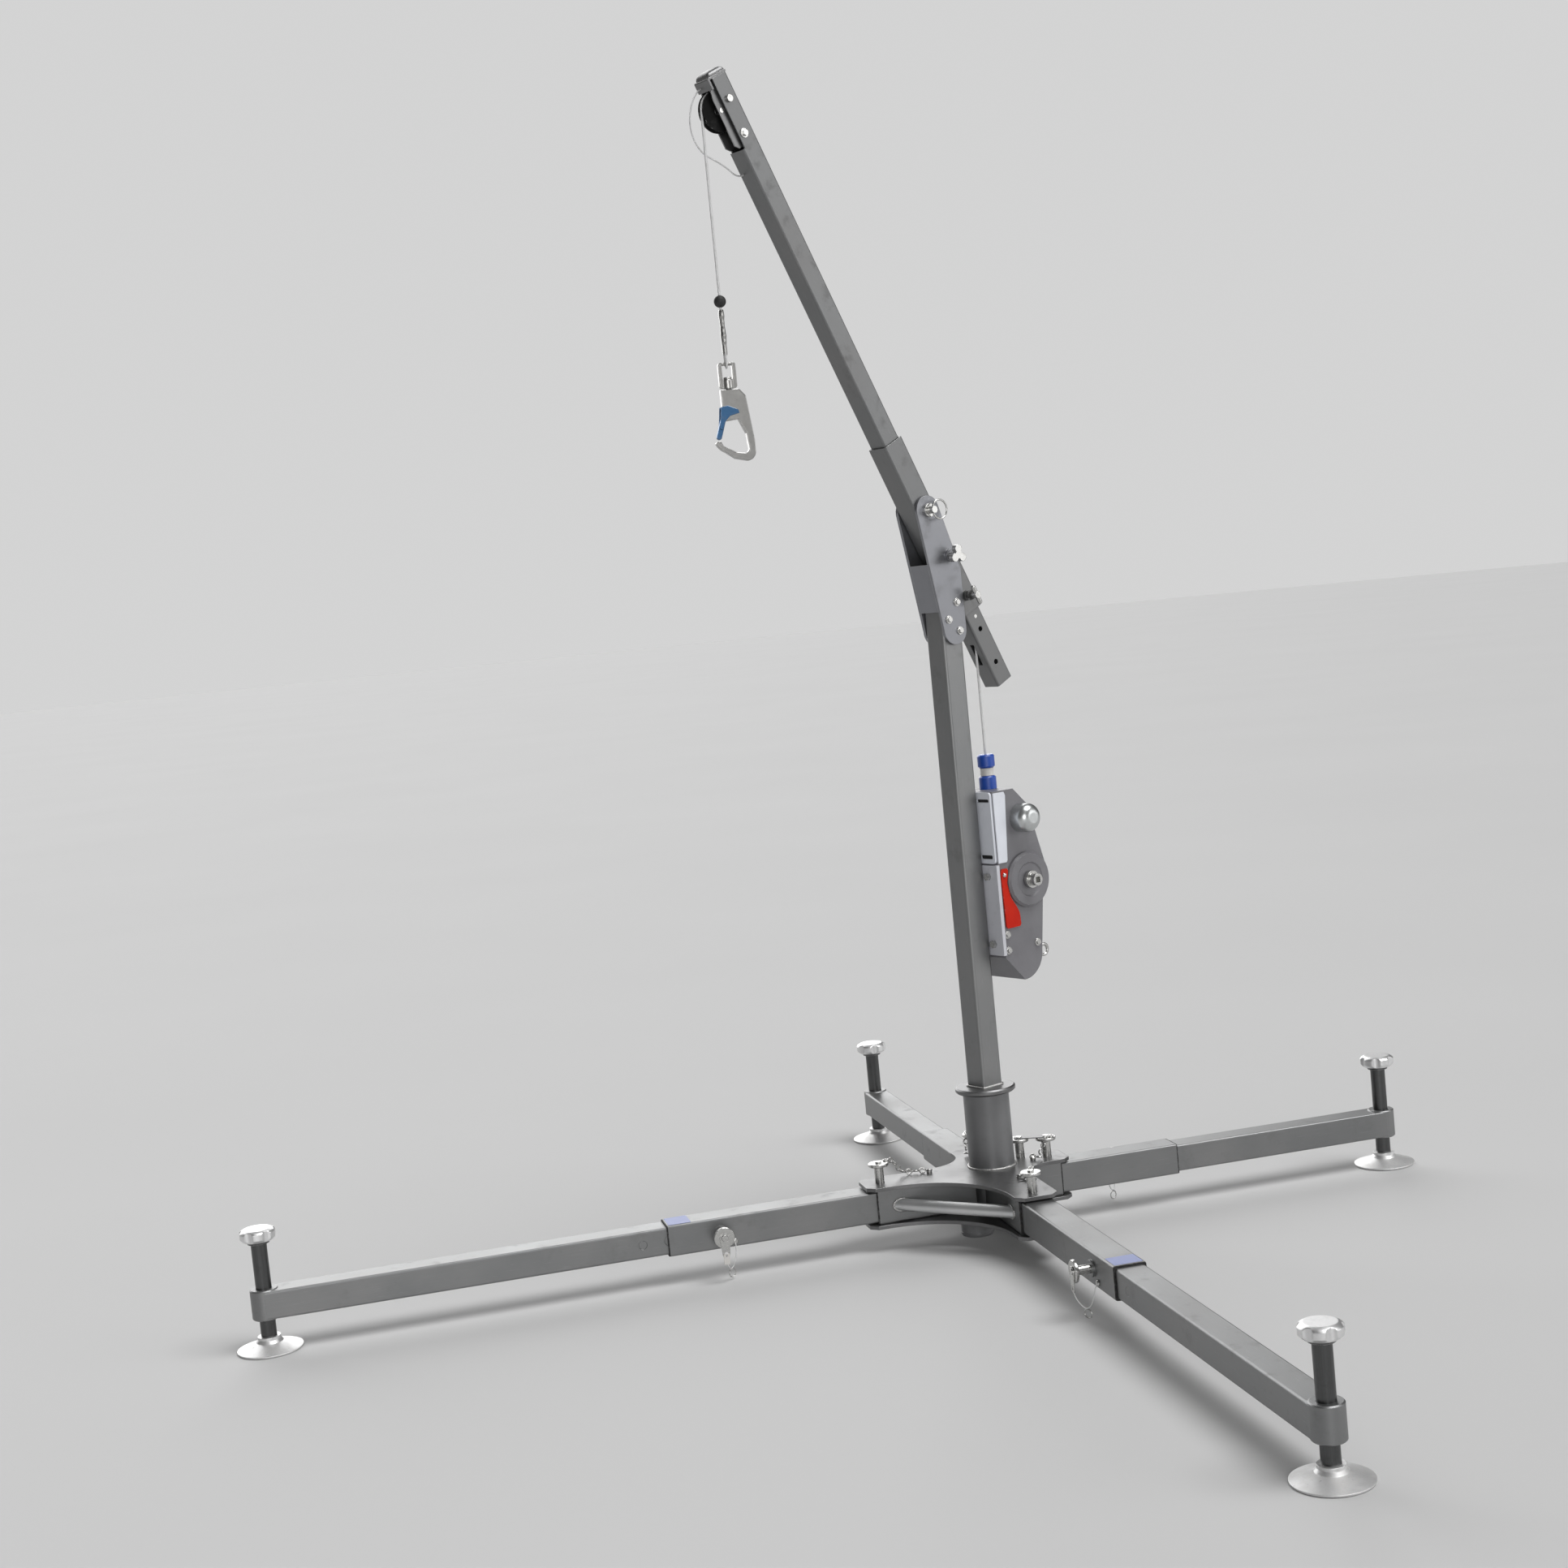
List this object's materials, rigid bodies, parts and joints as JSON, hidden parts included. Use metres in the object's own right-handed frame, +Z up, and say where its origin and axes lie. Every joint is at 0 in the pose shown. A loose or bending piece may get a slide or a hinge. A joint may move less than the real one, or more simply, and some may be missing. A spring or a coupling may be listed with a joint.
{
  "type": "portable davit crane",
  "caption": "Free-standing davit crane: telescopic jack legs on a cross hub, slewing mast with rope winch, luffing telescopic boom, and a rope with stopper ball and gated hook.",
  "frame": {"origin": "on the floor under the slewing axis of the mast", "axes": "+Z up; the four legs lie along -X, -Y, +X and +Y; the boom leans out at 204 degrees from +X towards +Y"},
  "size_m": [2.372, 2.372, 2.2189],
  "materials": {
    "tube": "satin mill finish",
    "plate": "satin",
    "zinc": "bright zinc",
    "foot": "cast and turned",
    "winch": "satin grey coat",
    "bearing": "dull",
    "blue": "moulded",
    "blue_metal": "anodised",
    "rope": "galvanised wire rope",
    "ball": "matt",
    "hook": "polished forging"
  },
  "bodies": {
    "base": {"base_top_plate": "plate", "base_bottom_plate": "plate", "leg_sockets": "tube", "socket_pins": "zinc", "grip_bar": "tube", "mast_sleeve": "tube", "slew_bearings": "bearing", "bearing_cup": "tube", "leg_outer_left": "tube", "leg_outer_front": "tube", "leg_outer_right": "tube", "leg_outer_back": "tube"},
    "leg_left": {"leg_inner_left": "tube"},
    "foot_left": {"foot_disc_left": "foot"},
    "jack_left": {"jack_spindle_left": "zinc"},
    "extension_lock_left": {"extension_pin_left": "zinc"},
    "leg_front": {"leg_inner_front": "tube"},
    "foot_front": {"foot_disc_front": "foot"},
    "jack_front": {"jack_spindle_front": "zinc"},
    "extension_lock_front": {"extension_pin_front": "zinc"},
    "leg_right": {"leg_inner_right": "tube"},
    "foot_right": {"foot_disc_right": "foot"},
    "jack_right": {"jack_spindle_right": "zinc"},
    "extension_lock_right": {"extension_pin_right": "zinc"},
    "leg_back": {"leg_inner_back": "tube"},
    "foot_back": {"foot_disc_back": "foot"},
    "jack_back": {"jack_spindle_back": "zinc"},
    "extension_lock_back": {"extension_pin_back": "zinc"},
    "mast": {"mast_spigot": "tube", "mast_tube": "tube", "cheek_near": "plate", "cheek_far": "plate", "head_front_plate": "plate", "pivot_pins": "zinc", "pivot_ring": "zinc", "winch_bracket": "plate", "bracket_bolts": "zinc", "winch_case": "winch", "winch_cover": "winch", "rope_guide": "blue", "rope_run": "rope"},
    "luff_lock": {"luff_pin": "zinc"},
    "drum": {"rope_drum": "zinc", "crank_hub": "zinc"},
    "selector": {"selector_knob": "winch"},
    "holder": {"boom_holder": "tube"},
    "boom_lock": {"boom_plunger": "zinc"},
    "boom": {"boom_tube": "tube", "head_cap": "tube", "sheave_axles": "zinc", "tether_wire": "rope", "rope_inner": "rope"},
    "head_wheel": {"head_sheave": "bearing"},
    "tail_wheel": {"tail_sheave": "bearing"},
    "fall": {"rope_fall": "rope"},
    "hook_block": {"stopper_ball": "ball", "rope_ferrule": "hook", "swivel_eye": "hook"},
    "hook": {"hook_body": "hook"},
    "gate": {"hook_gate": "blue_metal"}
  },
  "joints": [
    {"name": "leg_extend_left", "type": "slide", "parent": "base", "child": "leg_left", "axis": [-1, 0, 0], "range_m": [-0.15, 0.1]},
    {"name": "jack_lift_left", "type": "slide", "parent": "leg_left", "child": "foot_left", "axis": [0, 0, 1], "range_m": [-0.05, 0.02]},
    {"name": "jack_turn_left", "type": "hinge", "parent": "foot_left", "child": "jack_left", "pos_m": [-1.41, 0, 0], "axis": [0, 0, 1], "range_deg": [-1810, 730]},
    {"name": "extension_pin_pull_left", "type": "slide", "parent": "base", "child": "extension_lock_left", "axis": [0, 1, 0], "range_m": [0, 0.02]},
    {"name": "leg_extend_front", "type": "slide", "parent": "base", "child": "leg_front", "axis": [0, -1, 0], "range_m": [-0.15, 0.1]},
    {"name": "jack_lift_front", "type": "slide", "parent": "leg_front", "child": "foot_front", "axis": [0, 0, 1], "range_m": [-0.05, 0.02]},
    {"name": "jack_turn_front", "type": "hinge", "parent": "foot_front", "child": "jack_front", "pos_m": [0, -1.41, 0], "axis": [0, 0, 1], "range_deg": [-1810, 730]},
    {"name": "extension_pin_pull_front", "type": "slide", "parent": "base", "child": "extension_lock_front", "axis": [1, 0, 0], "range_m": [0, 0.02]},
    {"name": "leg_extend_right", "type": "slide", "parent": "base", "child": "leg_right", "axis": [1, 0, 0], "range_m": [-0.05, 0.05]},
    {"name": "jack_lift_right", "type": "slide", "parent": "leg_right", "child": "foot_right", "axis": [0, 0, 1], "range_m": [-0.05, 0.02]},
    {"name": "jack_turn_right", "type": "hinge", "parent": "foot_right", "child": "jack_right", "pos_m": [0.842, 0, 0], "axis": [0, 0, 1], "range_deg": [-1810, 730]},
    {"name": "extension_pin_pull_right", "type": "slide", "parent": "base", "child": "extension_lock_right", "axis": [0, -1, 0], "range_m": [0, 0.02]},
    {"name": "leg_extend_back", "type": "slide", "parent": "base", "child": "leg_back", "axis": [0, 1, 0], "range_m": [-0.05, 0.05]},
    {"name": "jack_lift_back", "type": "slide", "parent": "leg_back", "child": "foot_back", "axis": [0, 0, 1], "range_m": [-0.05, 0.02]},
    {"name": "jack_turn_back", "type": "hinge", "parent": "foot_back", "child": "jack_back", "pos_m": [0, 0.842, 0], "axis": [0, 0, 1], "range_deg": [-1810, 730]},
    {"name": "extension_pin_pull_back", "type": "slide", "parent": "base", "child": "extension_lock_back", "axis": [-1, 0, 0], "range_m": [0, 0.02]},
    {"name": "slew", "type": "hinge", "parent": "base", "child": "mast", "pos_m": [0, 0, 0.277], "axis": [0, 0, 1], "continuous": true},
    {"name": "luff", "type": "hinge", "parent": "mast", "child": "holder", "pos_m": [-0.03654, -0.01627, 1.414], "axis": [0.4067, -0.9135, 0], "range_deg": [0, 45], "deforming": ["rope_run"]},
    {"name": "boom_extend", "type": "slide", "parent": "holder", "child": "boom", "axis": [-0.4055, -0.1805, 0.8961], "range_m": [0, 0.15], "deforming": ["rope_run"]},
    {"name": "luff_pin_pull", "type": "slide", "parent": "mast", "child": "luff_lock", "axis": [-0.4067, 0.9135, 0], "range_m": [0, 0.0042]},
    {"name": "boom_plunger_pull", "type": "slide", "parent": "holder", "child": "boom_lock", "axis": [-0.4067, 0.9135, 0], "range_m": [0, 0.008]},
    {"name": "selector_pull", "type": "slide", "parent": "mast", "child": "selector", "axis": [0.4067, -0.9135, 0], "range_m": [0, 0.01]},
    {"name": "fall_swing", "type": "hinge", "parent": "boom", "child": "fall", "pos_m": [-0.38906, -0.17322, 2.14687], "axis": [0.4067, -0.9135, 0], "range_deg": [-45, 0]},
    {"name": "hoist", "type": "slide", "parent": "fall", "child": "hook_block", "axis": [0, 0, 1], "range_m": [-0.6, 0.15], "deforming": ["rope_fall"]},
    {"name": "hook_swivel", "type": "hinge", "parent": "hook_block", "child": "hook", "pos_m": [-0.42103, -0.18746, 1.665], "axis": [0, 0, 1], "continuous": true},
    {"name": "gate_open", "type": "hinge", "parent": "hook", "child": "gate", "pos_m": [-0.43204, -0.18746, 1.615], "axis": [0, -1, 0], "range_deg": [0, 35], "stiffness_Nm_per_rad": 0.05, "springref_deg": -17.19},
    {"name": "head_sheave_spin", "type": "hinge", "parent": "boom", "child": "head_wheel", "pos_m": [-0.38906, -0.17322, 2.14687], "axis": [-0.4067, 0.9135, 0], "range_deg": [-984, 247]},
    {"name": "tail_sheave_spin", "type": "hinge", "parent": "boom", "child": "tail_wheel", "pos_m": [0.06166, 0.02746, 1.20373], "axis": [-0.4067, 0.9135, 0], "range_deg": [-2991, 749]},
    {"name": "drum_spin", "type": "hinge", "parent": "mast", "child": "drum", "pos_m": [0.09775, 0.04352, 0.683], "axis": [0.4067, -0.9135, 0], "range_deg": [-1229, 308]}
  ],
  "couplings": [
    {"joint": "jack_turn_left", "follows": "jack_lift_left", "rad_per_m": 628.32},
    {"joint": "jack_turn_front", "follows": "jack_lift_front", "rad_per_m": 628.32},
    {"joint": "jack_turn_right", "follows": "jack_lift_right", "rad_per_m": 628.32},
    {"joint": "jack_turn_back", "follows": "jack_lift_back", "rad_per_m": 628.32},
    {"joint": "head_sheave_spin", "follows": "hoist", "rad_per_m": 28.571},
    {"joint": "tail_sheave_spin", "follows": "hoist", "rad_per_m": 86.957},
    {"joint": "drum_spin", "follows": "hoist", "rad_per_m": 35.714},
    {"joint": "fall_swing", "follows": "luff", "ratio": -1}
  ]
}
